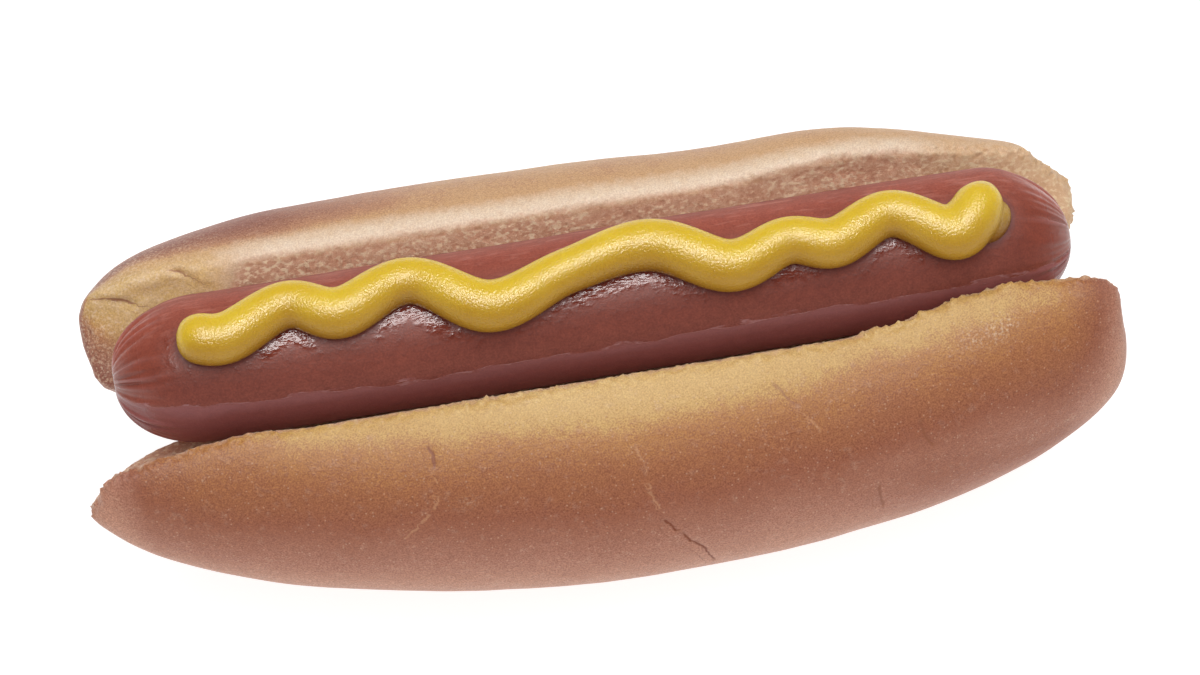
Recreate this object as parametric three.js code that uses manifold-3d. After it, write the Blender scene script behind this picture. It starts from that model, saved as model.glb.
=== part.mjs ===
// A hot dog: a side-cut soft roll, a frankfurter in it and a wavy bead of mustard on top.
// Units are millimetres and +Z is up. X runs along the roll, the front half is on -Y and
// the back half on +Y. The origin lies under the middle of the roll, on the surface that
// it stands on.
import * as THREE from "three";
import { mergeVertices } from "three/addons/utils/BufferGeometryUtils.js";
import Module from "manifold-3d";

const wasm = await Module();
wasm.setup();

// ---- Driving dimensions ----
const ROLL_HEIGHT = 45; // from the surface up to the cut rims
const FRANK_LENGTH = 145;
const FRANK_RADIUS = 11;
const FRANK_LIFT = 42; // height of the frankfurter's middle line
const FRANK_TAPER = 13.5; // length of each rounded end
const FRANK_DROOP = 0.8; // how far its right end sinks
const DROOP_START = 0.42 * FRANK_LENGTH; // distance from its middle where it starts to sink
const CLEARANCE = 0.3; // between pieces that touch
const HINGE_THICKNESS = 8; // uncut bread that joins the halves
const HINGE_LAP = 5; // how far each half reaches past the middle plane there
const HINGE_EDGE = 5.6; // thickness of that overlap at its edge
const HINGE_RUN_OUT = 3.2; // the halves come apart near the ends, the later the larger this is
const SLIT_WIDTH = 1.4; // the cut under the frankfurter, where the halves nearly close
const FOOT_SINK = 1; // the round bottom is cut off this high, as a flat to rest on
const BEAD_RADIUS = 3.7;
const BEAD_SINK = 2.2; // how far the bead's middle line lies inside its own radius
const BEAD_TAIL = 0.55; // what its radius shrinks to where it was drawn off, at the right
const TAIL_FROM = 0.945; // shares of the bead's length between which it shrinks
const TAIL_TO = 0.985;

// ---- How fine the faceted surfaces are ----
const ROLL_AROUND = 34;
const ROLL_ALONG = 40;
const FRANK_AROUND = 28;
const FRANK_ALONG = 28;
const BEAD_AROUND = 12;
const BEAD_ALONG = 74;

// ---- Named form of each half of the roll ----
// Distances out from the middle plane are positive on both sides.
//   rim      how far out the cut edge lies      belly   how far out the fullest point lies
//   fullest  where along X the belly is         left, right   its two ends
// Each end lies at x, and the outline closes on its tip, [out, up]. It stays full for
// longer, and ends squarer, the larger its numbers for belly, bottom and rim are: 2 is an
// ellipse.
const FRONT_HALF = {
  side: -1,
  rim: 13.7,
  belly: 35,
  bellyHeight: 22,
  fullest: 1,
  left: { x: -77.2, tip: [18.5, 35.5], belly: 1.45, bottom: 2.2, rim: 5 },
  right: { x: 77, tip: [17, 37], belly: 2.1, bottom: 3.3, rim: 9 },
  rimDrift: { from: 35, to: 60, out: -3, up: 3 },
};
const BACK_HALF = {
  side: 1,
  rim: 15.2,
  belly: 33.3,
  bellyHeight: 22,
  fullest: -28,
  left: { x: -76, tip: [13, 36.5], belly: 2.2, bottom: 2.4, rim: 7 },
  right: { x: 77, tip: [12, 35], belly: 2.2, bottom: 2.6, rim: 2.5 },
  rimDrift: { from: 20, to: 45, out: 0.6, up: 1.6 },
};

// The bead's wave: distance along the frankfurter, and sideways round it towards the back.
const BEAD_WAVE = [
  [-61.8, -0.9],
  [-55, -2.6],
  [-45.5, 0.7],
  [-38, -1.7],
  [-27.5, 1.4],
  [-16.5, -4.0],
  [-4.5, -0.9],
  [8, 0.7],
  [19, -3.8],
  [28, -1.7],
  [35, -3.0],
  [43.8, -0.2],
  [53.5, -4.2],
  [59, -1.2],
  [60, 2.4],
];

const smooth = (x, from, to) => THREE.MathUtils.smoothstep(x, from, to);
const mix = (a, b, share) => [a[0] + (b[0] - a[0]) * share, a[1] + (b[1] - a[1]) * share];

// How much of its size a form keeps at t, from 1 in the middle to 0 at its ends.
function runOut(t, power) {
  const rest = 1 - Math.pow(Math.abs(t), power);
  return rest < 1e-9 ? 0 : Math.pow(rest, 1 / power);
}

// A sphere's skin laid over another form: place(u, t) gives the point at u, from 0 to 1
// around it, and t, from -1 at one end to 1 at the other.
function skin(around, along, place) {
  const geometry = new THREE.SphereGeometry(1, around, along);
  const uv = geometry.getAttribute("uv");
  const position = geometry.getAttribute("position");
  for (let i = 0; i < position.count; i++) {
    const t = -Math.cos(Math.PI * uv.getY(i));
    position.setXYZ(i, ...place(uv.getX(i), t).toArray());
  }
  geometry.deleteAttribute("normal");
  geometry.deleteAttribute("uv");
  return mergeVertices(geometry, 1e-4);
}

// ---- Solids: only cut and joined here ----
function solidOf(geometry) {
  const index = Array.from(geometry.index.array);
  const make = (triVerts) =>
    new wasm.Manifold(
      new wasm.Mesh({
        numProp: 3,
        vertProperties: new Float32Array(geometry.getAttribute("position").array),
        triVerts: new Uint32Array(triVerts),
      }),
    );
  const solid = make(index);
  return solid.volume() > 0 ? solid : make(index.reverse());
}

function geometryOf(solid) {
  const { vertProperties, triVerts, numProp, numVert } = solid.getMesh();
  const points = new Float32Array(numVert * 3);
  for (let i = 0; i < numVert; i++) {
    points.set(vertProperties.subarray(i * numProp, i * numProp + 3), i * 3);
  }
  const geometry = new THREE.BufferGeometry();
  geometry.setAttribute("position", new THREE.BufferAttribute(points, 3));
  geometry.setIndex(new THREE.BufferAttribute(triVerts, 1));
  geometry.computeVertexNormals();
  return geometry;
}

function mesh(name, geometry, color, roughness) {
  const material = new THREE.MeshStandardMaterial({ color, roughness, metalness: 0 });
  const made = new THREE.Mesh(geometry, material);
  made.name = name;
  return made;
}

// ---- Frankfurter ----
// Its middle line: straight, with the right end sinking a little to the front.
function frankMiddle(x) {
  const droop = FRANK_DROOP * smooth(x, DROOP_START, FRANK_LENGTH / 2);
  return new THREE.Vector3(x, -droop, FRANK_LIFT - droop);
}

function frankRadius(x) {
  const intoEnd = Math.max(0, Math.abs(x) - (FRANK_LENGTH / 2 - FRANK_TAPER)) / FRANK_TAPER;
  return FRANK_RADIUS * Math.sqrt(Math.max(0, 1 - intoEnd * intoEnd));
}

function frankGeometry(extra = 0) {
  const reach = 1 + extra / (FRANK_LENGTH / 2);
  return skin(FRANK_AROUND, FRANK_ALONG, (u, t) => {
    const x = (t * FRANK_LENGTH) / 2;
    const angle = 2 * Math.PI * u;
    const radius = frankRadius(x) * (1 + extra / FRANK_RADIUS);
    const point = frankMiddle(x);
    point.x *= reach;
    point.y += radius * Math.sin(angle);
    point.z += radius * Math.cos(angle);
    return point;
  });
}

// ---- Roll ----
// One half's outline across the roll at x, as [out, up] at u round it.
// It runs from the rim out over the belly to the bottom, across the hinge, and back up
// the cut face: the slit and then the trough that the frankfurter lies in.
const CRUST_SHARE = 0.56; // u runs over the crust up to here, then to each place below
const HINGE_SHARE = 0.6;
const SLIT_FOOT_SHARE = 0.66;
const SLIT_SHARE = 0.76;

function halfOutline(half, u, x) {
  const end = x > 0 ? half.right : half.left;
  const [tipOut, tipUp] = end.tip;
  const rimKeep = runOut(x / end.x, end.rim);
  const bottomKeep = runOut(x / end.x, end.bottom);
  const bellyEnd = x > half.fullest ? half.right : half.left;
  const bellyKeep = runOut((x - half.fullest) / (bellyEnd.x - half.fullest), bellyEnd.belly);
  const drift = smooth(x, half.rimDrift.from, half.rimDrift.to);
  const rimOut = half.rim + half.rimDrift.out * drift;
  const rimUp = ROLL_HEIGHT + half.rimDrift.up * drift;

  const hingeKeep = runOut(x / end.x, HINGE_RUN_OUT);

  const out = (value, keep) => tipOut + (value - tipOut) * keep;
  const up = (value, keep) => tipUp + (value - tipUp) * keep;
  const rim = [out(rimOut, rimKeep), up(rimUp, rimKeep)];
  const belly = [out(half.belly, bellyKeep), up(half.bellyHeight, bottomKeep)];
  const bottom = [out(-HINGE_LAP, hingeKeep), up(-FOOT_SINK, bottomKeep)];
  const hingeEdge = [out(-HINGE_LAP, hingeKeep), up(HINGE_EDGE, bottomKeep)];
  const slitFoot = [out(SLIT_WIDTH / 2, hingeKeep), up(HINGE_THICKNESS, bottomKeep)];
  const troughFoot = [out(SLIT_WIDTH / 2, hingeKeep), up(FRANK_LIFT - FRANK_RADIUS, rimKeep)];

  if (u < CRUST_SHARE) {
    const angle = (Math.PI * u) / CRUST_SHARE; // 0 at the rim, 90 at the belly, 180 below
    const from = angle < Math.PI / 2 ? rim : bottom;
    return [
      from[0] + (belly[0] - from[0]) * Math.sin(angle),
      belly[1] + (from[1] - belly[1]) * Math.abs(Math.cos(angle)),
    ];
  }
  if (u < HINGE_SHARE) {
    return mix(bottom, hingeEdge, (u - CRUST_SHARE) / (HINGE_SHARE - CRUST_SHARE));
  }
  if (u < SLIT_FOOT_SHARE) {
    return mix(hingeEdge, slitFoot, (u - HINGE_SHARE) / (SLIT_FOOT_SHARE - HINGE_SHARE));
  }
  if (u < SLIT_SHARE) {
    return mix(slitFoot, troughFoot, (u - SLIT_FOOT_SHARE) / (SLIT_SHARE - SLIT_FOOT_SHARE));
  }
  const angle = ((Math.PI / 2) * (u - SLIT_SHARE)) / (1 - SLIT_SHARE);
  return [
    troughFoot[0] + (rim[0] - troughFoot[0]) * Math.sin(angle),
    rim[1] + (troughFoot[1] - rim[1]) * Math.cos(angle),
  ];
}

function halfSolid(half) {
  return solidOf(
    skin(ROLL_AROUND, ROLL_ALONG, (u, t) => {
      const x = THREE.MathUtils.mapLinear(t, -1, 1, half.left.x, half.right.x);
      const [out, up] = halfOutline(half, u, x);
      return new THREE.Vector3(x, half.side * out, up);
    }),
  );
}

function rollGeometry() {
  const above = new THREE.BoxGeometry(2 * FRANK_LENGTH, FRANK_LENGTH, FRANK_LENGTH);
  above.deleteAttribute("normal");
  above.deleteAttribute("uv");
  above.translate(0, 0, FRANK_LENGTH / 2);
  const halves = halfSolid(FRONT_HALF).add(halfSolid(BACK_HALF));
  const standing = halves.intersect(solidOf(mergeVertices(above)));
  return geometryOf(standing.subtract(solidOf(frankGeometry(CLEARANCE))));
}

// ---- Mustard ----
const beadLine = new THREE.CatmullRomCurve3(
  BEAD_WAVE.map(([along, sideways]) => new THREE.Vector3(along, sideways, 0)),
  false,
  "centripetal",
);

// The middle of the bead on the frankfurter's skin, at share from 0 to 1 along it.
function beadMiddle(share) {
  const flat = beadLine.getPointAt(share);
  const middle = frankMiddle(flat.x);
  const reach = FRANK_RADIUS + BEAD_RADIUS - BEAD_SINK;
  const angle = flat.y / FRANK_RADIUS;
  const away = new THREE.Vector3(0, Math.sin(angle), Math.cos(angle));
  return { point: middle.addScaledVector(away, reach), away };
}

function mustardGeometry() {
  const length = beadLine.getLength();
  const step = 0.004;
  const bead = skin(BEAD_AROUND, BEAD_ALONG, (u, t) => {
    const share = Math.acos(-t) / Math.PI; // even steps, not crowded at the ends
    const { point, away } = beadMiddle(share);
    const before = beadMiddle(Math.max(0, share - step)).point;
    const along = beadMiddle(Math.min(1, share + step)).point.sub(before).normalize();
    const across = new THREE.Vector3().crossVectors(away, along).normalize();
    const toEnd = Math.min(share, 1 - share) * length;
    const intoEnd = Math.max(0, 1 - toEnd / BEAD_RADIUS);
    const tail = THREE.MathUtils.lerp(1, BEAD_TAIL, smooth(share, TAIL_FROM, TAIL_TO));
    const radius = BEAD_RADIUS * tail * Math.sqrt(1 - intoEnd * intoEnd);
    const angle = 2 * Math.PI * u;
    return point
      .addScaledVector(across, radius * Math.cos(angle))
      .addScaledVector(away, radius * Math.sin(angle));
  });
  return geometryOf(solidOf(bead).subtract(solidOf(frankGeometry(CLEARANCE))));
}

// ---- The hot dog ----
const hotDog = new THREE.Group();
hotDog.add(mesh("roll", rollGeometry(), 0xb98152, 0.75));
hotDog.add(mesh("frankfurter", geometryOf(solidOf(frankGeometry())), 0x8a4237, 0.35));
hotDog.add(mesh("mustard", mustardGeometry(), 0xe0b838, 0.3));

export default hotDog;
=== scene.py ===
# %% [markdown]
# # A hot dog
# A soft roll that is cut open along its top, a frankfurter lying in the cut, and one wavy
# bead of mustard. The frame holds the three solids at their real size. This lesson gives
# each of them the surface of the real food: baked crust and torn crumb, tight moist skin,
# and wet mustard. The first cell loads the frame and keeps the box that it fills.

# %% Load the frame
import math

import bpy
import numpy as np
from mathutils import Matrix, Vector, kdtree, noise


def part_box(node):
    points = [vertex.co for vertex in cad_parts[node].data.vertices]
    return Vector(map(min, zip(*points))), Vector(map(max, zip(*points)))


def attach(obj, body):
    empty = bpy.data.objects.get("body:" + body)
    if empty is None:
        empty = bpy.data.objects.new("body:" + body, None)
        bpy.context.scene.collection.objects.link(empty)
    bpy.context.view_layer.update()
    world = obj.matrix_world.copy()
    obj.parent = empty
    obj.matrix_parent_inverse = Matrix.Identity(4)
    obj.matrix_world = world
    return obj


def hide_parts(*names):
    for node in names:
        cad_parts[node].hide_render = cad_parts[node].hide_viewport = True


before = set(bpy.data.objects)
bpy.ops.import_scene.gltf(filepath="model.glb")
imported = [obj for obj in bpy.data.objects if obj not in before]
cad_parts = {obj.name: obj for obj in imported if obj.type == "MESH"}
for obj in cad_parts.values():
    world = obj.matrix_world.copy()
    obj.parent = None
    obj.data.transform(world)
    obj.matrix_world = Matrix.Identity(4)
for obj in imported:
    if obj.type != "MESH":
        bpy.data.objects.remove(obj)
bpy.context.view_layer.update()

MM = 0.001
roll_low, roll_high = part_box("roll")
frank_low, frank_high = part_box("frankfurter")
frank_centre = (frank_low + frank_high) / 2
FRANK_LENGTH = frank_high.x - frank_low.x
FRANK_RADIUS = (frank_high.z - frank_low.z) / 2
print("the frankfurter is", round(FRANK_LENGTH / MM), "mm long, of radius", round(FRANK_RADIUS / MM, 1))
print("its middle is at", [round(value / MM, 1) for value in frank_centre])

# %% [markdown]
# ## Camera
# The hot dog is seen from about 60 degrees above the table and turned by about 11
# degrees, through a long lens, so that its two ends look nearly the same size. The
# camera's place is worked out from the frankfurter's box and the roll's length.

# %% Place the camera
VIEW_AZIMUTH = math.radians(-10.7)
VIEW_ELEVATION = math.radians(60)
LENS = 100
SENSOR = 36
SEEN_WIDTH = 1.16 * (roll_high.x - roll_low.x)
AIM_RIGHT = 0.55 * MM
AIM_DOWN = 5.13 * MM

toward_camera = Vector((
    math.sin(VIEW_AZIMUTH) * math.cos(VIEW_ELEVATION),
    -math.cos(VIEW_AZIMUTH) * math.cos(VIEW_ELEVATION),
    math.sin(VIEW_ELEVATION),
))
picture_right = Vector((math.cos(VIEW_AZIMUTH), math.sin(VIEW_AZIMUTH), 0))
picture_up = toward_camera.cross(picture_right)
aim = frank_centre + AIM_RIGHT * picture_right - AIM_DOWN * picture_up
bpy.ops.object.camera_add(location=aim + toward_camera * SEEN_WIDTH * LENS / SENSOR)
camera = bpy.context.active_object
camera.data.lens = LENS
camera.data.sensor_width = SENSOR
camera.rotation_euler = toward_camera.to_track_quat("Z", "Y").to_euler()
bpy.context.scene.camera = camera
print("the camera stands at", [round(value, 3) for value in camera.location])

# %% [markdown]
# ## Floor
# The table is a plain white sheet, lit from inside like a light table. It throws light up
# under the roll and hardly shows a shadow. One large plane is enough, and a little
# emission in its material does the lighting from below.

# %% Lay the white table
WARM_WHITE = (1, 0.99, 0.985, 1)


def new_material(name):
    made = bpy.data.materials.new(name)
    made.use_nodes = True
    return made, made.node_tree, made.node_tree.nodes["Principled BSDF"]


def set_shader(shader, values):
    for key, value in values.items():
        shader.inputs[key].default_value = value


bpy.ops.mesh.primitive_plane_add(size=6, location=(0, 0, -0.05 * MM))
floor = bpy.context.active_object
floor.name = "floor"
floor_paint, tree, shader = new_material("pale_floor")
set_shader(shader, {
    "Base Color": (0.4, 0.4, 0.4, 1),
    "Roughness": 0.8,
    "Specular IOR Level": 0.1,
    "Emission Color": WARM_WHITE,
    "Emission Strength": 0.85,
})
floor.data.materials.append(floor_paint)
print("the floor is", round(floor.dimensions.x), "m wide")

# %% [markdown]
# ## Light
# A wide soft box hangs straight above the hot dog, so the top of every form is bright and
# its sides fall off. A narrow strip beside it is only seen as a reflection: it lights no
# surface, but it puts one long highlight on the mustard and on the wet skin beside it. A
# dim white room fills the shadows.

# %% Light the room and hang the two lamps
scene = bpy.context.scene
scene.view_settings.view_transform = "Standard"
if scene.world is None:
    scene.world = bpy.data.worlds.new("room")
scene.world.use_nodes = True
room = scene.world.node_tree.nodes["Background"]
room.inputs["Color"].default_value = WARM_WHITE
room.inputs["Strength"].default_value = 0.4


def hang_light(name, place, length, width, energy):
    bpy.ops.object.light_add(type="AREA", location=place)
    lamp = bpy.context.active_object
    lamp.name = name
    lamp.data.shape = "RECTANGLE"
    lamp.data.size = length
    lamp.data.size_y = width
    lamp.data.energy = energy
    lamp.rotation_euler = (lamp.location - frank_centre).to_track_quat("Z", "Y").to_euler()
    print(name, "hangs", round(lamp.location.z, 2), "m up")
    return lamp


hang_light("soft_box", (0.02, 0, 0.7), 0.8, 0.6, 3.4)
strip = hang_light("strip", (0.02, -0.04, 0.7), 0.7, 0.2, 7.0)
strip.visible_diffuse = False

# %% [markdown]
# ## Shader groups that the foods share
# Bread, sausage skin and mustard all have a colour that wanders a little and a surface
# that is never quite smooth. Each effect could be built again in every material, but a
# group is built once, with named inputs, and then placed with each food's own values.

# %% Build and place a group
def add_node(tree, kind, inputs=None, **settings):
    """Adds a node. An input given as a socket is linked, and any other value is set."""
    made = tree.nodes.new(kind)
    for key, value in settings.items():
        setattr(made, key, value)
    for key, value in (inputs or {}).items():
        if isinstance(value, bpy.types.NodeSocket):
            tree.links.new(value, made.inputs[key])
        else:
            made.inputs[key].default_value = value
    return made


def new_group(name, numbers, output):
    """A group that takes a Vector and some named numbers, and gives out one number."""
    tree = bpy.data.node_groups.new(name, "ShaderNodeTree")
    tree.interface.new_socket("Vector", in_out="INPUT", socket_type="NodeSocketVector")
    for socket, value in numbers.items():
        made = tree.interface.new_socket(socket, in_out="INPUT", socket_type="NodeSocketFloat")
        made.default_value = value
    tree.interface.new_socket(output, in_out="OUTPUT", socket_type="NodeSocketFloat")
    return tree, tree.nodes.new("NodeGroupInput"), tree.nodes.new("NodeGroupOutput")


def place_group(tree, group, **inputs):
    return add_node(tree, "ShaderNodeGroup", inputs, node_tree=group).outputs[0]


# %% [markdown]
# Mottle is a soft wandering value for patches, grain and small lumps. It is a noise whose
# middle values are spread out to fill 0 to 1.

# %% Mottle
mottle, start, end = new_group("mottle", {"Size": 0.005, "Detail": 2.0}, "Value")
per_metre = add_node(mottle, "ShaderNodeMath", {0: 1.0, 1: start.outputs["Size"]}, operation="DIVIDE")
clouds = add_node(mottle, "ShaderNodeTexNoise", {
    "Vector": start.outputs["Vector"],
    "Scale": per_metre.outputs[0],
    "Detail": start.outputs["Detail"],
})
spread = add_node(mottle, "ShaderNodeMapRange", {
    "Value": clouds.outputs[0], "From Min": 0.28, "From Max": 0.72,
})
mottle.links.new(spread.outputs[0], end.inputs["Value"])
print("mottle has", len(mottle.nodes), "nodes")

# %% [markdown]
# Specks are sparse small dots, like flour or fine crumbs on a crust. The surface is cut
# into cells, and only a share of them gets a dot at its middle.

# %% Specks
specks, start, end = new_group("specks", {"Size": 0.001, "Share": 0.2}, "Mask")
per_metre = add_node(specks, "ShaderNodeMath", {0: 1.0, 1: start.outputs["Size"]}, operation="DIVIDE")
cells = add_node(specks, "ShaderNodeTexVoronoi", {
    "Vector": start.outputs["Vector"], "Scale": per_metre.outputs[0],
})
pick = add_node(specks, "ShaderNodeSeparateColor", {"Color": cells.outputs["Color"]})
chosen = add_node(specks, "ShaderNodeMath", {
    0: pick.outputs[0], 1: start.outputs["Share"],
}, operation="LESS_THAN")
dot = add_node(specks, "ShaderNodeMapRange", {
    "Value": cells.outputs["Distance"], "From Min": 0.38, "From Max": 0.16,
})
mask = add_node(specks, "ShaderNodeMath", {0: dot.outputs[0], 1: chosen.outputs[0]}, operation="MULTIPLY")
specks.links.new(mask.outputs[0], end.inputs["Mask"])
print("specks has", len(specks.nodes), "nodes")

# %% [markdown]
# ## Small tools for the bench
# An operator acts on whatever is selected, so each step first selects exactly one piece.
# Modifiers are added, set and applied in one go. Point positions are read and written as
# one array, because a loop over a hundred thousand points would be slow.

# %% Select, apply, read and write
def only(piece):
    """Makes piece the one selected and active object."""
    bpy.ops.object.select_all(action="DESELECT")
    piece.select_set(True)
    bpy.context.view_layer.objects.active = piece


def apply_modifier(piece, kind, **settings):
    only(piece)
    modifier = piece.modifiers.new(kind.lower(), kind)
    for key, value in settings.items():
        setattr(modifier, key, value)
    bpy.ops.object.modifier_apply(modifier=modifier.name)


def points_of(piece, what="co"):
    values = np.empty(len(piece.data.vertices) * 3)
    if what == "co":
        piece.data.vertices.foreach_get("co", values)
    else:
        piece.data.vertex_normals.foreach_get("vector", values)
    return values.reshape(-1, 3)


def place_points(piece, points):
    piece.data.vertices.foreach_set("co", points.ravel())
    piece.data.update()


# %% [markdown]
# ## The roll: one even skin
# The roll's solid is made of flat facets. It could be smoothed as it is, but its long
# facets would crease. So a copy of it is welded, then remeshed to even small squares that
# can be pulled and smoothed like dough.

# %% Copy, weld and remesh the roll
ROLL_SQUARE = 0.9 * MM


def fresh_copy(node, name):
    """A copy of a CAD node's mesh as an object of its own, with its loose triangles welded."""
    piece = bpy.data.objects.new(name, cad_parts[node].data.copy())
    scene.collection.objects.link(piece)
    piece.data.materials.clear()
    only(piece)
    bpy.ops.object.mode_set(mode="EDIT")
    bpy.ops.mesh.select_all(action="SELECT")
    bpy.ops.mesh.remove_doubles(threshold=1e-6)
    bpy.ops.object.mode_set(mode="OBJECT")
    return piece


roll = fresh_copy("roll", "soft_roll")
apply_modifier(roll, "REMESH", mode="VOXEL", voxel_size=ROLL_SQUARE)
print("the roll's even skin has", len(roll.data.polygons), "squares")

# %% [markdown]
# Two hands opened this roll, so it is not even from end to end. The seam under the left
# end has parted, the front left tip is drawn out, and both rims rise and sink a little.
# Each is one pull at one point with a soft reach, as with thumb and finger.

# %% Pull the dough
DOUGH_PULLS = [  # place, move and reach, in millimetres
    ((-66, 0, 17), (6, 0, 2), 14),
    ((-69, 3, 20), (4, 3, 4), 11),
    ((-62, 0, 15), (3, 0, 0), 10),
    ((-77, -18, 33), (-1.8, 0.4, 1.6), 5.5),
    ((-54, -17, 40), (0, 0.7, 0.9), 12),
    ((42, 24, 41), (0, 0.6, 0.9), 24),
    ((76, -20, 30), (1.5, -0.6, 0), 14),
    ((-76, 14, 36), (-0.9, 0.3, 0), 7),
    ((-72, 17, 42), (0.7, -0.4, -0.9), 6),
    ((76.5, 16.5, 38.5), (-2.0, -0.4, -1.3), 6.5),
    ((-56, 14.6, 40.8), (0, -0.8, 1.3), 6),
    ((-66, 14.4, 40.2), (0, -0.8, 0.9), 6),
]


def pull(piece, place, move, reach):
    """Moves the point nearest to a place, and its surroundings with it, all in millimetres."""
    away = np.linalg.norm(points_of(piece) - np.array(place) * MM, axis=1)
    only(piece)
    bpy.ops.object.mode_set(mode="EDIT")
    bpy.ops.mesh.select_mode(type="VERT")
    bpy.ops.mesh.select_all(action="DESELECT")
    bpy.ops.object.mode_set(mode="OBJECT")
    piece.data.vertices[int(away.argmin())].select = True
    bpy.ops.object.mode_set(mode="EDIT")
    bpy.ops.transform.translate(
        value=np.array(move) * MM, use_proportional_edit=True,
        proportional_edit_falloff="SMOOTH", proportional_size=reach * MM,
    )
    bpy.ops.object.mode_set(mode="OBJECT")


for place, move, reach in DOUGH_PULLS:
    pull(roll, place, move, reach)
apply_modifier(roll, "REMESH", mode="VOXEL", voxel_size=ROLL_SQUARE)
apply_modifier(roll, "SMOOTH", factor=0.5, iterations=3)
print("pulled in", len(DOUGH_PULLS), "places, now", len(roll.data.polygons), "squares")

# %% [markdown]
# The rims of the cut would melt away under more smoothing. So each point measures how far
# it is from a rim, which is any edge whose one end is on the crust and the other on the
# cut. The cut is what faces the frankfurter, and the two walls of the slit below it.

# %% Find the rims
SLIT_HALF_WIDTH = 2.5 * MM
SLIT_BOTTOM, SLIT_TOP = 9 * MM, 32 * MM
LOWEST_RIM = 15 * MM


def is_cut_face(points, normals):
    """1 where a point of the roll lies on the cut, facing the frankfurter, and 0 on the crust."""
    to_frank = np.stack([np.zeros(len(points)), -points[:, 1], frank_centre.z - points[:, 2]], 1)
    to_frank /= np.linalg.norm(to_frank, axis=1, keepdims=True)
    facing = (to_frank * normals).sum(1)
    in_slit = (np.abs(points[:, 1]) < SLIT_HALF_WIDTH) & (np.abs(normals[:, 2]) < 0.6)
    in_slit &= (points[:, 2] > SLIT_BOTTOM) & (points[:, 2] < SLIT_TOP)
    return ((facing > 0.15) | in_slit).astype(float)


def nearest(points, others):
    """How far each point lies from the nearest of the others."""
    tree = kdtree.KDTree(len(others))
    for index, place in enumerate(others):
        tree.insert(place, index)
    tree.balance()
    return np.array([tree.find(point)[2] for point in points])


def rim_distance(piece, cut):
    """How far each point lies from the line where the crust meets the cut face."""
    ends = np.empty(len(piece.data.edges) * 2, int)
    piece.data.edges.foreach_get("vertices", ends)
    ends = ends.reshape(-1, 2)
    points = points_of(piece)
    crossing = ends[cut[ends[:, 0]] != cut[ends[:, 1]]]
    rim = points[crossing].mean(1)
    rim = rim[rim[:, 2] > LOWEST_RIM]
    return nearest(points, rim)


points = points_of(roll)
cut = is_cut_face(points, points_of(roll, "normal"))
distance = rim_distance(roll, cut)
print(round(float((distance < MM).mean()), 2), "of the points lie within 1 mm of a rim")

# %% [markdown]
# Now the dough is smoothed, and least beside a rim. The front rim is the torn one and
# stays sharpest. The back rim is softer, and at the left end the skin runs round the edge
# with no cut at all, so there it is as soft as the rest. Last, each face is divided once,
# which leaves room for torn crumb.

# %% Smooth the dough
FRONT_RIM_SOFTNESS = 0.1
BACK_RIM_SOFTNESS = 0.4


def smooth(values, start, end):
    """0 up to start, 1 from end on, and an even curve between them."""
    share = np.clip((values - start) / (end - start), 0, 1)
    return share * share * (3 - 2 * share)


is_back = points[:, 1] > 0
whole_skin = 1 - smooth(points[:, 0], -58 * MM, -48 * MM)
least = np.where(is_back, np.maximum(BACK_RIM_SOFTNESS, whole_skin), FRONT_RIM_SOFTNESS)
softness = least + (1 - least) * smooth(distance, 0.3 * MM, 4 * MM)
group = roll.vertex_groups.new(name="dough")
for index, weight in enumerate(softness):
    group.add([index], float(weight), "REPLACE")
apply_modifier(roll, "SMOOTH", factor=0.5, iterations=16, vertex_group="dough")
apply_modifier(roll, "SUBSURF", levels=1, render_levels=1)
print("the roll has", len(roll.data.polygons), "faces before its crumb is torn")

# %% [markdown]
# The back half leans in over the frankfurter, so its crumb faces up and catches the
# light. The wall between its rim and the sausage is moved forward, and the movement fades
# out at the rim, at the bottom and on the crust.

# %% Lean the back wall in
BACK_RIM_HEIGHT = [  # along the roll, height, in millimetres
    (-77, 36), (-74, 40.5), (-65, 43), (-54, 44.9), (24, 44.8), (47, 44.6), (67, 41.9), (77, 37),
]
WALL_LEAN = 1.6
LEFT_END_LEAN = 0.8

points = points_of(roll)
normals = points_of(roll, "normal")
along, across, height = points.T / MM
is_back = across > 0
left_end = np.where(is_back, 1 - smooth(along, -58, -50), 0)
below_rim = np.interp(along, *zip(*BACK_RIM_HEIGHT)) - height
facing_front = smooth(-normals[:, 1], -0.1, 0.4)
lean = smooth(below_rim, 0.2, 5) * smooth(height, 27, 33) * facing_front * is_back
points[:, 1] -= lean * (WALL_LEAN + LEFT_END_LEAN * left_end) * MM
place_points(roll, points)
normals = points_of(roll, "normal")
print("the wall leans over", round(float((lean > 0).mean()), 2), "of the points")

# %% [markdown]
# ## The roll: where the crust is pale, brown or torn
# Two measures say where each colour goes. "inside" is how deep a point lies in the torn
# cut, in millimetres, below zero on the crust. "around" is how far round the half a point
# lies from its top, in degrees. Under the roll the two halves share one skin, so there
# the angle is taken from a line a little outside the middle, or it would jump at the seam.

# %% Measure every point of the roll
BELLY_HEIGHT = 22 * MM
RIM_OUT = 14.5 * MM
SEAM_OUT = 5 * MM
LEFT_END_IS_SKIN = 9

cut = is_cut_face(points, normals)
distance = rim_distance(roll, cut) / MM
inside = np.where(cut > 0.5, distance, -distance) - LEFT_END_IS_SKIN * left_end
crumb_here = smooth(inside, -0.3, 0.8)
right_end = smooth(along, 48, 60)
outward = np.maximum(np.abs(points[:, 1]) - RIM_OUT, SEAM_OUT * smooth(height, 32, 23))
around = np.degrees(np.arctan2(outward, points[:, 2] - BELLY_HEIGHT))
print("crumb share of the points:", round(float((inside > 0).mean()), 2))

# %% [markdown]
# A half's crust is palest beside the cut, where it was proved against its neighbour and
# baked least, and browner the further round it goes. Toward the two ends the browning
# starts sooner, so a lead in degrees is added there. "bake" keeps the sum for every point.

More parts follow.
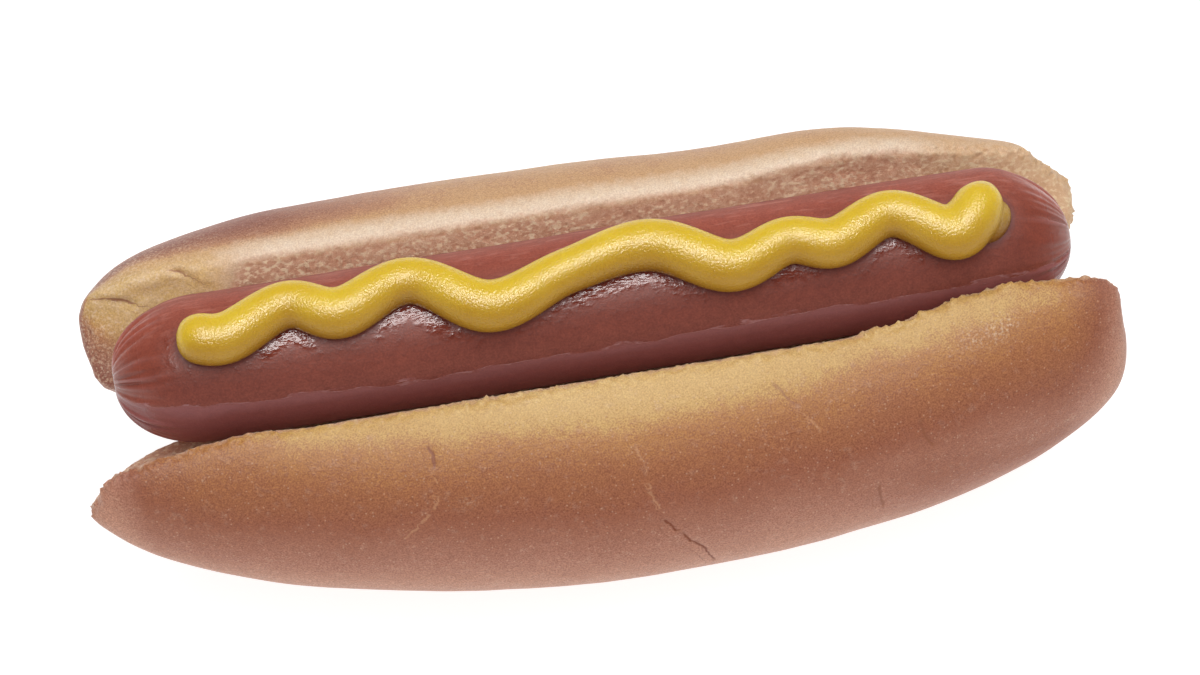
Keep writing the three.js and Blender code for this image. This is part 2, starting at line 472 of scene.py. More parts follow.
# %% Bake the front half
FRONT_BAKE_LEAD = [  # along the roll, degrees
    (-78, 95), (-74, 76), (-70, 40), (-64, 28), (-43, 14), (-24, 8), (0, 3), (29, 8), (50, 17),
    (67, 22), (72, 42), (76, 80),
]
# At the two tips the lead runs the crust up into the ramp's last stops, which are painted light.
front_bake = around + np.interp(along, *zip(*FRONT_BAKE_LEAD))
front_bake -= 32 * smooth(around, 48, 75) * smooth(along, 25, 52)
print("the front half's bake runs from", round(front_bake.min()), "to", round(front_bake.max()))

# %% [markdown]
# The back half has a tan shoulder, a brown band from its left end to its middle, and the
# same brown belly as the front. Its left end is turned over: there the whole edge is
# skin, pale at the top and browner down toward the seam and round the tip.

# %% Bake the back half
BACK_BAKE = [  # along the roll, degrees
    (-77, 34), (-62, 30), (-50, 29), (-35, 26), (-15, 22), (20, 20), (50, 18), (77, 22),
]
back_bake = np.interp(along, *zip(*BACK_BAKE)) * smooth(around, -6, 26)
back_bake += 44 * smooth(around, 6, 25) * (1 - smooth(along, -66, -20))
back_bake += 26 * smooth(around, 50, 74) + 30 * smooth(around, 62, 105)
left_skin = left_end * smooth(around, 13, 0)
skin_bake = 5 + 42 * (1 - smooth(height, 28, 41))
back_bake = back_bake * (1 - left_skin) + left_skin * skin_bake
turned = smooth(normals[:, 1] - 0.8 * normals[:, 0], 0, 0.5) * smooth(1 - normals[:, 2], 0.15, 0.6)
back_bake += 34 * turned * (1 - smooth(along, -66, -48))
back_bake += 34 * (1 - smooth(along, -77, -69)) * (1 - smooth(height, 30, 44))
back_share = smooth(across, -6, 6)
bake = front_bake + (back_bake - front_bake) * back_share
print("the whole roll's bake runs from", round(bake.min()), "to", round(bake.max()))

# %% [markdown]
# Three more numbers per point give the bread its local colours. "cream" is the almost
# white strip beside the back rim, which baked least; it is painted whiter still as a
# highlight where it faces up. "rosy" is where the crust browns to pink instead of
# orange, which is the back half. "lacy" is where the torn crumb shows most flakes.

# %% Cream, rosy and lacy places
cream = np.where(is_back, 1 - smooth(around, 6, 16), 0) * (1 - smooth(inside, 0.2, 1.6))
cream *= smooth(along, -60, -46) * (1 - 0.75 * right_end)
# At the top of the left end's skin the cream is painted light against the frankfurter's shade.
cream = np.maximum(cream, 0.2 * left_skin * smooth(height, 36, 41))
rosy = back_share * (1 - left_skin * smooth(height, 34, 40))
lacy = 0.7 * np.exp(-(((along + 48) / 7) ** 2)) + 0.5 * np.exp(-(((along + 9) / 8) ** 2))
lacy += 0.5 * right_end
print("cream share of the points:", round(float((cream > 0.5).mean()), 3))

# %% [markdown]
# ## The roll: creases and cracks
# The skin at the left end is folded in four creases, and the front crust has split in a
# few fine cracks as it dried. Both could be carved by hand, but a short line laid over the
# surface is easier to move and to repeat. The tool below tells every point how far it is
# from such a line and on which side, and where the line fades out.

# %% Measure to a line on the surface
FAR = 9.0


def beside(places, normals, line, width):
    """Distance in mm to a line, below zero on one side of it, and a fade to 0 away from it."""
    line = np.array(line, float)
    closest = np.full(len(places), np.inf)
    signed = np.full(len(places), FAR)
    share_of_line = np.zeros(len(places))
    lengths = np.linalg.norm(np.diff(line, axis=0), axis=1)
    for index, length in enumerate(lengths):
        step = line[index + 1] - line[index]
        share = np.clip((places - line[index]) @ step / length ** 2, 0, 1)
        away = places - line[index] - share[:, None] * step
        gap = np.linalg.norm(away, axis=1)
        turn = (np.cross(step, away) * normals).sum(1)
        closer = gap < closest
        closest = np.where(closer, gap, closest)
        signed = np.where(closer, np.where(turn < 0, -gap, gap), signed)
        share_of_line = np.where(closer, lengths[:index].sum() + share * length, share_of_line)
    share_of_line /= lengths.sum()
    fade = smooth(share_of_line, 0, 0.15) * (1 - smooth(share_of_line, 0.85, 1))
    return signed, fade * (1 - smooth(closest, width, 2 * width))


# %% [markdown]
# A crease is wide enough to be pressed into the mesh: a groove with a soft fold standing up
# on one side of it.

# %% Press in the creases
LONG_FOLD = [(-75.5, 15.4, 41.6), (-73, 14.6, 41.2), (-69, 14, 41), (-65, 13.6, 39.2)]
TIP_FOLD = [(-76, 12.5, 37.5), (-74.6, 12.4, 36), (-73, 12.2, 35.6)]
SLANTED_FOLD = [(-62.5, 16.2, 45), (-60, 15.6, 43.8), (-57, 14.8, 42), (-54.5, 14.2, 40.4)]
CREASES = [  # depth, then the line
    (0.35, LONG_FOLD),
    (0.35, TIP_FOLD),
    (0.3, SLANTED_FOLD),
    (0.2, [(-70, 17, 43.5), (-66, 17.4, 44.2), (-63, 17.2, 44.6)]),
]
places = points / MM
creased = np.zeros(len(points))
for depth, line in CREASES:
    gap, fade = beside(places, normals, line, 2.5)
    fold = 0.55 * np.exp(-((gap - 1.1) / 0.8) ** 2)
    groove = np.exp(-((gap / 0.55) ** 2))
    creased += fade * depth * (fold - groove)
print("creased by", round(float(np.abs(creased).max()), 2), "mm at most")

# %% [markdown]
# A crack is finer than the mesh. So each point only keeps its distance to the crack, and
# the material draws the line from that, dark in the gap and light on its lips. The dark
# ones are also pressed in a little. The folds get a faint line of the same kind: painted
# shade along the groove and a painted highlight on the fold's lip.

# %% Lay the cracks and the folds' painted lines
CRACK_DEPTH = 0.25
CRACKS_AND_CREASE_LINES = [  # dark, light, then the line
    (0.0, 0.5, [
        (1, -23.8, 42.2), (1.6, -26, 40.8), (2.2, -27.6, 39.3), (2.6, -30.4, 36.2), (4.1, -32.4, 32.8),
    ]),
    (1.0, 0.5, [(3.8, -32.4, 32.6), (4.8, -33, 31.4), (5.6, -33.5, 30), (6.1, -33.7, 29.6)]),
    (1.0, 0.6, [
        (5.9, -33.6, 30.3), (6.6, -33.8, 29.5), (7.8, -34.4, 27.3), (9.8, -34.6, 25), (11.8, -34.4, 19),
    ]),
    (0.7, 0.4, [(43.2, -26.4, 39.1), (43.9, -27.9, 37.2), (45.3, -29.3, 34.4)]),
    (0.7, 0.4, [(36.5, -31.7, 31), (36.9, -32.4, 28.2), (37.6, -32.9, 24.6)]),
    (0.8, 0.6, [(-28.6, -19.8, 43.7), (-28.1, -21.4, 42.9), (-28.1, -23.2, 41.8)]),
    (0.0, 0.5, [
        (-28.1, -23, 41.9), (-28, -26.6, 38.8), (-29.4, -27.4, 37.4), (-31.1, -28.2, 35.9),
        (-34.6, -29.3, 32.8),
    ]),
    # The three folds below get painted shade along the groove and a painted highlight on the lip.
    (0.6, 0.9, LONG_FOLD),
    (0.6, 0.8, TIP_FOLD),
    (0.5, 0.9, SLANTED_FOLD),
    (0.45, 0.2, [(22.5, -19, 44.1), (24.4, -21.6, 43.1), (26, -23.2, 42.3)]),
    (0.0, 0.45, [(25.9, -23, 42.4), (27.4, -25, 41.2), (28.9, -26.9, 39.4)]),
]
crack = np.full(len(points), FAR)
crack_dark_and_crease_shade = np.zeros(len(points))
crack_lip_and_crease_highlight = np.zeros(len(points))
for dark, light, line in CRACKS_AND_CREASE_LINES:
    gap, fade = beside(places, normals, line, 1.0)
    crack = np.where(fade > 0, gap, crack)
    crack_dark_and_crease_shade = np.maximum(crack_dark_and_crease_shade, fade * dark)
    crack_lip_and_crease_highlight = np.maximum(crack_lip_and_crease_highlight, fade * light)
creased -= CRACK_DEPTH * crack_dark_and_crease_shade * np.exp(-((crack / 0.5) ** 2))
print(len(CRACKS_AND_CREASE_LINES), "lines touch", int((crack < FAR).sum()), "points")

# %% [markdown]
# Where the crust was rubbed, its brown skin has flaked and the paler bread shows through.
# The back half's left end is worn all over, and the front has a few small spots.

# %% Wear the crust
WORN_SPOTS = [  # place and reach, in millimetres
    ((53, -18.5, 45.6), 1.6), ((56, -18, 46), 1.8), ((58.5, -17.4, 46.2), 1.3),
    ((58.5, -28.6, 30.1), 0.6), ((61.6, -27.8, 29.8), 0.7), ((67.2, -26, 30.2), 0.6),
    ((69.3, -25.2, 29.5), 0.7), ((-24, -27, 38), 0.8),
]
worn = 0.8 * is_back * (1 - smooth(along, -70, -46)) * (1 - smooth(around, 25, 75))
for place, reach in WORN_SPOTS:
    worn = np.maximum(worn, np.exp(-(np.linalg.norm(places - place, axis=1) / reach) ** 2))
print("worn share of the points:", round(float((worn > 0.3).mean()), 3))

# %% [markdown]
# ## The roll: torn crumb
# Bread tears into thin walls round small bubbles. They are far too many to model, so two
# noises stand in for them. Lumpy noise drawn out along the roll gives the soft hollows, and
# a folded noise gives the thin walls, which the finish paints lighter than the hollows.

# %% Tear the crumb
def grain_at(places, size, stretch=1.0, depth=3):
    """Noise of a given size in millimetres, about -1 to 1, drawn out along the roll by a stretch."""
    scaled = places / size
    scaled[:, 0] /= stretch
    return np.array([noise.fractal(point, 1.0, 2.0, depth) for point in scaled])


torn = np.where(crumb_here > 0)[0]
walls = 0.5 - 1.6 * np.abs(grain_at(places[torn], 0.9, 1.1))
relief = np.zeros(len(points))
relief[torn] = walls + 0.5 * grain_at(places[torn], 3.4, 1.3)
print(len(torn), "points are torn crumb")

# %% [markdown]
# The front rim carries crumbs, more in some places than in others, so it is rough by a
# different height along the roll. The back rim is rough mostly at its right end. The crust
# itself is a little uneven everywhere, or it would look cast. All of it is lifted at once.

# %% Rough up the rims and lift the surface
CRUMB_HEIGHT = 0.16
FRONT_RIM_CRUMBS = [  # along the roll, height, in millimetres
    (-77, 0.6), (-60, 0.5), (-45, 0.25), (-27, 0.35), (-19, 0.9), (-10, 0.5), (5, 0.4), (20, 0.5),
    (38, 0.5), (43, 0.8), (48, 0.4), (62, 0.4), (70, 0.5), (74, 0.25), (77, 0.2),
]
near_rim = (1 - smooth(distance, 0.2, 1.6)) * (1 - left_end)
rough = np.where(near_rim > 0)[0]
ragged = np.zeros(len(points))
ragged[rough] = np.maximum(grain_at(places[rough], 0.7, 1.2), -0.4) + 0.4 * grain_at(places[rough], 2.2)
front_crumbs = np.interp(along, *zip(*FRONT_RIM_CRUMBS))
rim_height = np.where(is_back, 0.18 + 0.4 * right_end, front_crumbs)
uneven = 0.3 * grain_at(places, 17, depth=1) + 0.05 * grain_at(places, 4.5, depth=1)
lift = crumb_here * relief * CRUMB_HEIGHT + near_rim * ragged * rim_height
lift += uneven * (1 - crumb_here) + creased
place_points(roll, points + normals * lift[:, None] * MM)
print("lifted by", round(float(lift.min()), 2), "to", round(float(lift.max()), 2), "mm")

# %% [markdown]
# What was measured is stored on the mesh, one number for each point, so the material can
# read it. Only then is the mesh thinned out, because the kept numbers are carried along.

# %% Keep the numbers and thin out the mesh
TRIANGLES = 190_000


def keep(piece, name, values):
    """Stores one number for each point of the piece, for its material to read."""
    numbers = piece.data.attributes.new(name, "FLOAT", "POINT")
    numbers.data.foreach_set("value", np.asarray(values, float))


for name, values in {
    "inside": inside, "bake": bake, "cream": cream, "relief": relief, "crack": crack,
    "crack_dark_and_crease_shade": crack_dark_and_crease_shade, "crack_lip_and_crease_highlight": crack_lip_and_crease_highlight, "right_end": right_end,
    "lacy": lacy, "worn": worn, "rosy": rosy,
}.items():
    keep(roll, name, values)
roll.data.calc_loop_triangles()
share = min(1, TRIANGLES / len(roll.data.loop_triangles))
apply_modifier(roll, "DECIMATE", ratio=share, use_collapse_triangulate=True)
only(roll)
bpy.ops.object.shade_smooth()
print("the roll ends with", len(roll.data.polygons), "triangles")

# %% [markdown]
# ## Mixing colours
# A finish is mixed from masks and paints: a mask says where, and a paint says what colour.
# Written out node by node it would be very long, so a few short tools place the nodes.

# %% Tools for mixing
def math_node(tree, operation, first, second=0.0, third=0.0):
    return add_node(tree, "ShaderNodeMath", {0: first, 1: second, 2: third}, operation=operation).outputs[0]


def times(tree, first, second):
    return math_node(tree, "MULTIPLY", first, second)


def times_plus(tree, first, second, third):
    """The first times the second, plus the third."""
    return math_node(tree, "MULTIPLY_ADD", first, second, third)


def rise(tree, value, start, end):
    """0 up to start, 1 from end on, and evenly between them."""
    return add_node(tree, "ShaderNodeMapRange", {
        "Value": value, "From Min": start, "From Max": end,
    }).outputs[0]


def fall(tree, value, start, end):
    """1 up to start, 0 from end on, and evenly between them."""
    return rise(tree, value, end, start)


def attribute(tree, name):
    return add_node(tree, "ShaderNodeAttribute", attribute_name=name).outputs["Fac"]


def drawn_out(tree, place, squeeze):
    """The place, squeezed along X, so that what is built on it comes out longer."""
    made = add_node(tree, "ShaderNodeVectorMath", {0: place, 1: (squeeze, 1, 1)}, operation="MULTIPLY")
    return made.outputs[0]


def paint(red, green, blue):
    """A colour as it is seen on a screen, 0 to 255, turned into the light that it stands for."""
    seen = (red / 255, green / 255, blue / 255)
    light = [part / 12.92 if part < 0.04 else ((part + 0.055) / 1.055) ** 2.4 for part in seen]
    return (*light, 1)


def ramp(tree, value, stops):
    made = add_node(tree, "ShaderNodeValToRGB", {0: value})
    elements = made.color_ramp.elements
    while len(elements) < len(stops):
        elements.new(0.5)
    for element, (place, colour) in zip(elements, stops):
        element.position = place
        element.color = colour
    return made.outputs[0]


def blend(tree, share, first, second, way="MIX"):
    made = add_node(tree, "ShaderNodeMix", {0: share, 6: first, 7: second}, data_type="RGBA", blend_type=way)
    return made.outputs[2]


def add_bump(tree, shader, height, strength, distance):
    bump = add_node(tree, "ShaderNodeBump", {"Height": height, "Strength": strength, "Distance": distance})
    tree.links.new(bump.outputs[0], shader.inputs["Normal"])


def tint(tree, colour, mask, strength, tone, way="MIX"):
    """Lays a tone over a colour where the mask says, at the given strength."""
    return blend(tree, times(tree, mask, strength), colour, tone, way)


# %% [markdown]
# ## The roll's finish
# Crust and crumb could be two materials, but they are one bread and run into each other,
# so they are one material here. The crust comes first. How far it is baked picks its
# colour from a ramp: cream, gold, orange brown, and then a lighter pinkish brown low down
# and at the tips, which is painted light from the table below. Three sizes of mottle break the ramp up.

# %% Bread: how far it is baked
bread, tree, shader = new_material("baked_bread")
place = add_node(tree, "ShaderNodeTexCoord").outputs["Object"]
broad = place_group(tree, mottle, Vector=place, Size=11 * MM, Detail=2.0)
middling = place_group(tree, mottle, Vector=place, Size=1.4 * MM, Detail=3.0)
grain = place_group(tree, mottle, Vector=place, Size=0.24 * MM, Detail=1.0)

baked = times_plus(tree, broad, 7.0, attribute(tree, "bake"))
baked = times_plus(tree, middling, 4.0, baked)
baked = times_plus(tree, grain, 5.0, baked)
baked = math_node(tree, "DIVIDE", math_node(tree, "SUBTRACT", baked, 8.0), 100.0)
crust = ramp(tree, baked, [
    (0.02, paint(232, 197, 128)),
    (0.19, paint(213, 169, 91)),
    (0.26, paint(194, 133, 66)),
    (0.38, paint(182, 116, 68)),
    (0.54, paint(171, 103, 70)),
    # The last two stops are lighter and pinker again: painted light from the table below.
    (0.75, paint(190, 130, 104)),
    (1.00, paint(212, 157, 130)),
])
print("the bread has", len(tree.nodes), "nodes so far")

# %% [markdown]
# Then come the pink of the back half, the cream strip beside its rim, and what sits in and
# on the skin: dark grain in the browner parts, pale dots like flour, and the flakes and
# gaps of the worn places.

# %% Bread: what tints the crust
pink = ramp(tree, baked, [(0.2, paint(220, 174, 146)), (0.6, paint(158, 102, 90))])
crust = tint(tree, crust, attribute(tree, "rosy"), 0.55, pink)
# The cream strip: pale crust that baked least, painted whiter as a highlight, and the painted light on the
# left skin.
cream_share = times_plus(tree, middling, 0.35, attribute(tree, "cream"))
cream_share = math_node(tree, "SUBTRACT", cream_share, 0.25)
cream_share = add_node(tree, "ShaderNodeClamp", {"Value": cream_share}).outputs[0]
crust = blend(tree, cream_share, crust, paint(246, 225, 199))
grain_strength = times_plus(tree, rise(tree, baked, 0.15, 0.42), 0.35, 0.37)
crust = tint(tree, crust, grain, grain_strength, paint(172, 134, 116), "MULTIPLY")
pale_dots = place_group(tree, specks, Vector=place, Size=0.5 * MM, Share=0.12)
crust = tint(tree, crust, pale_dots, 0.26, paint(236, 204, 172))

flecks = place_group(tree, mottle, Vector=place, Size=0.42 * MM, Detail=3.0)
worn_here = attribute(tree, "worn")
worn_gaps = times(tree, fall(tree, flecks, 0.15, 0.5), worn_here)
worn_flecks = times(tree, rise(tree, flecks, 0.5, 0.9), worn_here)
crust = tint(tree, crust, worn_gaps, 0.12, paint(156, 104, 92))
crust = tint(tree, crust, worn_flecks, 0.7, paint(234, 208, 178))
print("the bread has", len(tree.nodes), "nodes so far")

# %% [markdown]
# A crack wanders, so some mottle is added to the distance that each point kept. The light
# lip is painted first, and the dark gap over it. On the folds these are painted shade in the
# groove and a painted highlight on the lip.

# %% Bread: the cracks, and the folds' painted shade and highlight
wander = place_group(tree, mottle, Vector=place, Size=1.2 * MM, Detail=3.0)
crack_gap = times_plus(tree, wander, 0.4, attribute(tree, "crack"))
crack_gap = math_node(tree, "ABSOLUTE", math_node(tree, "SUBTRACT", crack_gap, 0.2))
crack_line_and_crease_shade = fall(tree, crack_gap, 0.12, 0.34)
crack_line_and_crease_shade = times(tree, crack_line_and_crease_shade, attribute(tree, "crack_dark_and_crease_shade"))
lip_and_crease_highlight = fall(tree, crack_gap, 0.08, 0.3)
lip_and_crease_highlight = times(tree, lip_and_crease_highlight, attribute(tree, "crack_lip_and_crease_highlight"))
crust = tint(tree, crust, lip_and_crease_highlight, 0.7, paint(218, 168, 124))
crust = blend(tree, crack_line_and_crease_shade, crust, paint(132, 62, 30))
print("the bread has", len(tree.nodes), "nodes so far")

# %% [markdown]
# The crumb is cream where it stands out and tan in its hollows, which the kept relief
# tells: the darker hollows are painted shade. A lace of fine walls and larger pale flakes
# make it look torn, and deeper in the cut it is painted a little darker and pinker, as
# painted shade and painted red light thrown from the frankfurter.

# %% Bread: the crumb's colour
inside_here = attribute(tree, "inside")
depth_in = rise(tree, inside_here, 0.3, 3.0)
lace = place_group(tree, mottle, Vector=place, Size=0.45 * MM, Detail=4.0)
lace = math_node(tree, "ABSOLUTE", math_node(tree, "SUBTRACT", lace, 0.5))
lace = fall(tree, lace, 0.02, 0.16)
flakes = place_group(tree, mottle, Vector=drawn_out(tree, place, 0.6), Size=0.6 * MM, Detail=4.0)
flake_places = math_node(tree, "ADD", depth_in, attribute(tree, "lacy"))
flakes = times(tree, rise(tree, flakes, 0.5, 0.8), flake_places)
# The kept relief paints the raised crumb lighter and the hollows darker: painted shade.
crumb_tone = times_plus(tree, attribute(tree, "relief"), 0.4, 0.3)
crumb_tone = times_plus(tree, lace, 0.2, crumb_tone)
crumb_tone = times_plus(tree, flakes, 0.55, crumb_tone)
crumb = ramp(tree, crumb_tone, [
    (0.0, paint(206, 154, 123)),
    (0.4, paint(225, 179, 147)),
    (1.0, paint(254, 236, 202)),
])
# Deeper in the cut: painted shade, and painted red light thrown from the frankfurter.
crumb = tint(tree, crumb, depth_in, 0.5, paint(236, 204, 190), "MULTIPLY")
crumb = tint(tree, crumb, attribute(tree, "right_end"), 0.4, paint(230, 198, 146))
print("the bread has", len(tree.nodes), "nodes so far")

# %% [markdown]
# Crust and crumb meet in an uneven line. Bread is dull and lets a little light in, and its
# dry skin has a faint sheen. The bump carries what is finer than the mesh: grain, lace and
# the cracks.

# %% Bread: crust and crumb together
crumb_share = times_plus(tree, middling, 1.2, inside_here)
crumb_share = rise(tree, crumb_share, 0.4, 2.2)
tree.links.new(blend(tree, crumb_share, crust, crumb), shader.inputs["Base Color"])
set_shader(shader, {
    "Roughness": 0.58,
    "Specular IOR Level": 0.4,
    "Sheen Weight": 0.18,
    "Sheen Roughness": 0.4,
    "Subsurface Weight": 0.18,
    "Subsurface Radius": (1.0, 0.9, 0.8),
    "Subsurface Scale": 2 * MM,
})
relief_height = times_plus(tree, grain, 0.5, middling)
lace_height = times(tree, lace, crumb_share)
relief_height = times_plus(tree, lace_height, 1.2, relief_height)
crack_depth = times(tree, crack_line_and_crease_shade, 0.6)
relief_height = math_node(tree, "SUBTRACT", relief_height, crack_depth)
add_bump(tree, shader, relief_height, strength=0.5, distance=0.12 * MM)
roll.data.materials.append(bread)
print("the bread ends with", len(tree.nodes), "nodes")

# %% [markdown]
# ## The frankfurter
# A frankfurter is a filled casing: nearly a cylinder, with domed ends that pucker where
# the casing was twisted shut. A cylinder with a dome stuck on each end would show a seam.
# So a ball is pulled apart at its middle instead.

# %% Pull a ball into a sausage
FRANK_TAPER = 13.5 * MM
OFF_MIDDLE = 0.01 * MM
PULL = FRANK_LENGTH / 2 - FRANK_TAPER

bpy.ops.object.select_all(action="DESELECT")
bpy.ops.mesh.primitive_uv_sphere_add(segments=192, ring_count=84, radius=FRANK_RADIUS, location=frank_centre)
frankfurter = bpy.context.active_object
frankfurter.name = "frankfurter_skin"
bpy.ops.object.mode_set(mode="EDIT")
bpy.ops.transform.rotate(value=math.pi / 2, orient_axis="Y", center_override=frank_centre)
bpy.ops.transform.resize(value=(FRANK_TAPER / FRANK_RADIUS, 1, 1), center_override=frank_centre)
bpy.ops.mesh.select_all(action="DESELECT")
bpy.ops.object.mode_set(mode="OBJECT")
for direction in (-1, 1):
    for vertex in frankfurter.data.vertices:
        vertex.select = vertex.co.x * direction > OFF_MIDDLE
    bpy.ops.object.mode_set(mode="EDIT")
    bpy.ops.transform.translate(value=(direction * PULL, 0, 0))
    bpy.ops.mesh.select_all(action="DESELECT")
    bpy.ops.object.mode_set(mode="OBJECT")
print("pulled to", round(frankfurter.dimensions.x / MM, 1), "mm")

# %% [markdown]
# The faces in the middle are now very long and could not bend. Dividing their long edges
# evenly gives clean rings to shape.

# %% Divide the long faces into even rings
bpy.ops.object.mode_set(mode="EDIT")
bpy.ops.mesh.select_mode(type="EDGE")
bpy.ops.mesh.select_all(action="DESELECT")
bpy.ops.object.mode_set(mode="OBJECT")
mesh = frankfurter.data
for edge in mesh.edges:
    first, second = (mesh.vertices[index].co for index in edge.vertices)
    edge.select = abs(first.x - second.x) > PULL / 2
bpy.ops.object.mode_set(mode="EDIT")
bpy.ops.mesh.subdivide(number_cuts=100)
bpy.ops.mesh.select_mode(type="VERT")
bpy.ops.object.mode_set(mode="OBJECT")
bpy.ops.object.transform_apply(location=True, rotation=True, scale=True)
print("the frankfurter has", len(mesh.polygons), "faces")

# %% [markdown]
# The casing gathers into small folds that run into each end, like a drawn curtain. Each
# fold is a ridge whose height depends on the angle round the sausage, and it fades away
# from the end. Where the casing was twisted shut there is a dimple.

# %% Gather the ends
DIMPLE = 0.9
FOLD_COUNTS = (17, 23, 29, 37, 43)
GATHERED_ENDS = ((-1, 0.34 * MM, 3), (1, 0.24 * MM, 11))  # which end, depth, seed

points = points_of(frankfurter)
local = points - np.array(frank_centre)
radius = np.hypot(local[:, 1], local[:, 2])
angle = np.arctan2(local[:, 1], local[:, 2])
out = np.stack([np.zeros(len(points)), np.sin(angle), np.cos(angle)], 1)


def folds(angle, counts, seed):
    """Uneven ridges round the end, from -1 to 1, the same at a full turn."""
    phases = np.random.default_rng(seed).uniform(0, 2 * math.pi, len(counts))
    total = sum(np.sin(count * angle + phase) for count, phase in zip(counts, phases))
    return total / len(counts) ** 0.5


moved = points.copy()
# The crests of the end folds are kept, for a painted highlight on them.
pleat = np.zeros(len(points))
for direction, depth, seed in GATHERED_ENDS:
    from_pole = FRANK_LENGTH / 2 - direction * local[:, 0]
    strength = smooth(from_pole, 0.1 * MM, 1.6 * MM) * (1 - smooth(from_pole, 2 * MM, 13 * MM)) ** 2
    ridge = folds(angle, FOLD_COUNTS, seed)
    pleat += strength * smooth(ridge, 0.5, 1.5)
    moved += out * (strength * depth * ridge)[:, None]
    dimple = np.exp(-((radius / (1.5 * MM)) ** 2)) * (from_pole < 6 * MM)
    moved[:, 0] -= direction * dimple * DIMPLE * MM
print("the folds move the skin by", round(float(np.abs(moved - points).max() / MM), 2), "mm at most")

# %% [markdown]
# The whole length is slightly uneven and rippled, or its shine would be one ruled line.
# The right end also droops a little, forward and down.

# %% Loosen the skin
UNEVEN = 0.22
RIPPLE = 0.035
DROOP = 0.8


def droop_at(along):
    """How far the sausage sinks at a place along it."""
    return smooth(along, FRANK_LENGTH * 0.42, FRANK_LENGTH / 2) * DROOP * MM


uneven = np.array([noise.noise(Vector(point * (0.6, 1, 1) / (14 * MM))) for point in points])
ripple = np.array([noise.noise(Vector(point * (0.35, 1, 1) / (3.2 * MM))) for point in points])
off_pole = smooth(radius, 2 * MM, 9 * MM)
moved += out * (off_pole * (uneven * UNEVEN + ripple * RIPPLE) * MM)[:, None]
moved[:, 1] -= droop_at(local[:, 0])
moved[:, 2] -= droop_at(local[:, 0])
place_points(frankfurter, moved)
only(frankfurter)
bpy.ops.object.shade_smooth()
print("the frankfurter is now", round(frankfurter.dimensions.x / MM, 1), "mm long")

# %% [markdown]
# A faint line runs along the near side. It is
# laid as an angle round the sausage for a few places along it. Each point keeps its
# distance below the line, and how far round, how close to an end and how pleated it is.

# %% Measure round the sausage
NEAR_SIDE_LINE = [  # along the roll in millimetres, degrees round from the top
    (-60, -60), (-46, -65), (-31, -69), (-1, -68), (14, -66), (29, -64), (44, -65), (58, -63),
]
turn = np.degrees(angle)
below_line = np.interp(points[:, 0] / MM, *zip(*NEAR_SIDE_LINE)) - turn
end_start, end_full = FRANK_LENGTH / 2 - 11 * MM, FRANK_LENGTH / 2 - 3 * MM
keep(frankfurter, "turn", turn)
keep(frankfurter, "pleat", pleat)
keep(frankfurter, "at_end", smooth(np.abs(local[:, 0]), end_start, end_full))
keep(frankfurter, "line_distance", np.where(below_line < 90, np.radians(below_line) * FRANK_RADIUS / MM, -20))
print("below the rack line:", round(float((below_line > 0).mean()), 2), "of the points")

# %% [markdown]
# ## The mustard
# The bead was squeezed out of a nozzle while it moved from side to side, so it is a round
# cord that follows a wave over the sausage. The wave is a handful of listed points, and
# each has its own thickness, so the bead swells in the bends. It ends in a small
# drawn-up peak, and a short second stroke lies flat beside the peak, where the paste was
# smeared as the nozzle was pulled away.

# %% Lay the bead's wave
BEAD_WAVE = [  # along the sausage, sideways round it, thickness
    (-61.8, -0.9, 1.0),
    (-55, -2.6, 1.03),
    (-45.5, 0.7, 0.95),
    (-38, -1.7, 1.03),
    (-27.5, 1.4, 0.94),
    (-16.5, -4.0, 1.05),
    (-4.5, -1.0, 0.92),
    (8, 0.9, 1.06),
    (19, -3.8, 1.06),
    (28, -1.7, 0.96),
    (35, -3.0, 1.02),
    (43.8, -0.2, 0.95),
    (52.0, -4.3, 1.05),
    (55.2, -3.0, 1.12),
    (57.2, -0.9, 1.02),
    (58.5, 0.9, 0.8),
    (59.2, 2.0, 0.5),
]
BEAD_FLAP = [(55.5, -6.0, 0.35), (58.6, -4.2, 0.55), (60.0, -1.8, 0.6), (59.8, 0.4, 0.4)]
BEAD_STEPS = 12


def through(points, steps):
    """Points on an even curve through the given ones."""
    points = np.array([2 * np.array(points[0]) - points[1], *points, 2 * np.array(points[-1]) - points[-2]])
    line = []
    for index in range(1, len(points) - 2):
        before, first, second, after = points[index - 1:index + 3]
        for step in range(steps):
            t = step / steps
            line.append(0.5 * (
                2 * first + (second - before) * t + (2 * before - 5 * first + 4 * second - after) * t ** 2
                + (3 * first - before - 3 * second + after) * t ** 3
            ))
    line.append(points[-2])
    return np.array(line)


wave, flap = through(BEAD_WAVE, BEAD_STEPS), through(BEAD_FLAP, BEAD_STEPS)
print("the wave has", len(wave), "points and the flap", len(flap))

# %% [markdown]
# The wave is wrapped round the sausage, and a curve with a round bevel runs through it.
# Its two ends are rounded off by letting the radius fall the way it does on a ball.

# %% Squeeze out the bead
BEAD_RADIUS = 3.7 * MM
BEAD_SINK = 2.2 * MM
FLAP_SINK = 4.0 * MM

